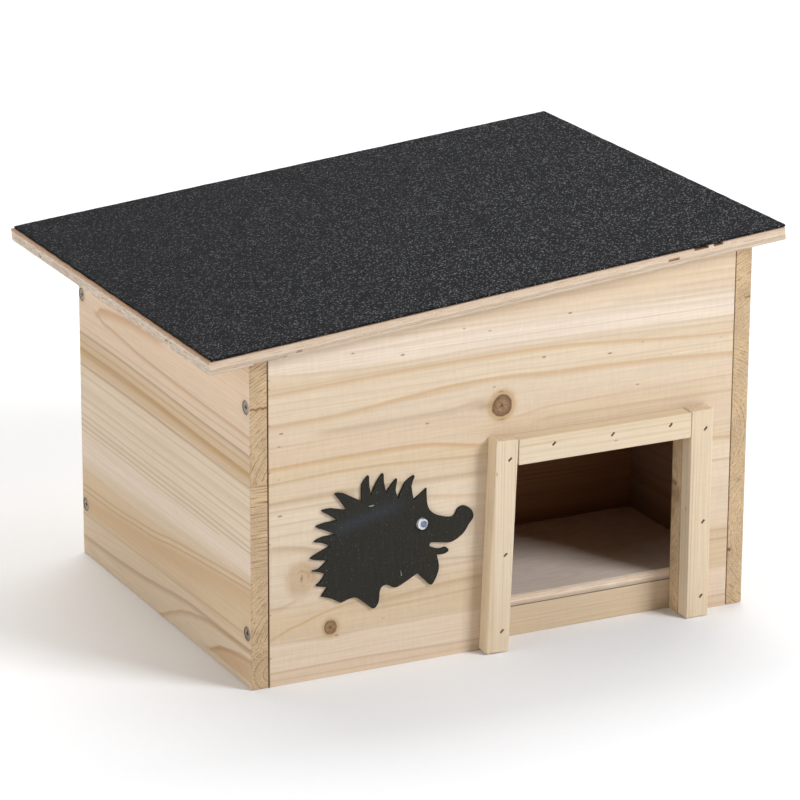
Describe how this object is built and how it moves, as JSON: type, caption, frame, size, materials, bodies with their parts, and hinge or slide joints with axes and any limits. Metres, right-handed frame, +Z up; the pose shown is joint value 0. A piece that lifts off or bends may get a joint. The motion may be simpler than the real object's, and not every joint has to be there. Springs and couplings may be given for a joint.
{
  "type": "hedgehog house",
  "caption": "Bare softwood hedgehog house with a doorway framed by battens, an inner wall, a plywood floor and a felted lean-to roof that lifts as a hinged lid.",
  "frame": {"origin": "on the ground, at the middle of the box that holds the whole house", "axes": "+Z up, front faces -Y, +X along the front towards the high side of the roof"},
  "size_m": [0.502, 0.409, 0.3217],
  "materials": {
    "softwood": "bare planed softwood boards with growth lines, knots and open end grain",
    "batten_wood": "bare planed softwood battens, straight grained",
    "plywood": "bare thin-ply plywood, sawn edges showing the plies",
    "roofing_felt": "bitumen roofing felt with dark mineral grit",
    "black_sheet": "matt black sheet with a fine nap",
    "zinc_screw": "zinc plated, slightly dull",
    "brad_steel": "dark resin-coated steel, sunk in the wood",
    "staple_steel": "bright wire",
    "hinge_steel": "bright zinc plated sheet steel",
    "eye_white": "white plastic",
    "eye_pupil": "dark plastic disc",
    "eye_clear": "clear domed plastic"
  },
  "bodies": {
    "house": {"left_wall": "softwood", "right_wall": "softwood", "front_panel": "softwood", "back_panel": "softwood", "inner_wall": "softwood", "front_floor_batten": "batten_wood", "rear_floor_batten": "batten_wood", "left_door_post": "batten_wood", "right_door_post": "batten_wood", "door_lintel": "batten_wood", "floor_board": "plywood", "hedgehog_ornament": "black_sheet", "left_wall_screw_front_low": "zinc_screw", "left_wall_screw_front_high": "zinc_screw", "left_wall_screw_rear_low": "zinc_screw", "left_wall_screw_rear_high": "zinc_screw", "right_wall_screw_front_low": "zinc_screw", "right_wall_screw_front_high": "zinc_screw", "right_wall_screw_rear_low": "zinc_screw", "right_wall_screw_rear_high": "zinc_screw", "inner_wall_screw_low": "zinc_screw", "inner_wall_screw_high": "zinc_screw", "left_post_brad_low": "brad_steel", "left_post_brad_middle": "brad_steel", "left_post_brad_high": "brad_steel", "right_post_brad_low": "brad_steel", "right_post_brad_middle": "brad_steel", "right_post_brad_high": "brad_steel", "lintel_brad_left": "brad_steel", "lintel_brad_middle": "brad_steel", "lintel_brad_right": "brad_steel", "ornament_staple_upper": "staple_steel", "ornament_staple_lower": "staple_steel", "low_hinge_wall_leaf": "hinge_steel", "low_hinge_pin": "hinge_steel", "low_hinge_wall_screw_a": "hinge_steel", "low_hinge_wall_screw_b": "hinge_steel", "high_hinge_wall_leaf": "hinge_steel", "high_hinge_pin": "hinge_steel", "high_hinge_wall_screw_a": "hinge_steel", "high_hinge_wall_screw_b": "hinge_steel", "eye_base": "eye_white", "eye_pupil": "eye_pupil", "eye_cover": "eye_clear"},
    "lid": {"roof_board": "plywood", "roof_felt": "roofing_felt", "low_hinge_roof_leaf": "hinge_steel", "low_hinge_roof_screw_a": "hinge_steel", "low_hinge_roof_screw_b": "hinge_steel", "high_hinge_roof_leaf": "hinge_steel", "high_hinge_roof_screw_a": "hinge_steel", "high_hinge_roof_screw_b": "hinge_steel"}
  },
  "joints": [
    {"name": "lid_hinge", "type": "hinge", "parent": "house", "child": "lid", "pos_m": [-0.11768, 0.1558, 0.2734], "axis": [-0.9961, 0, -0.0883], "range_deg": [0, 95]}
  ]
}
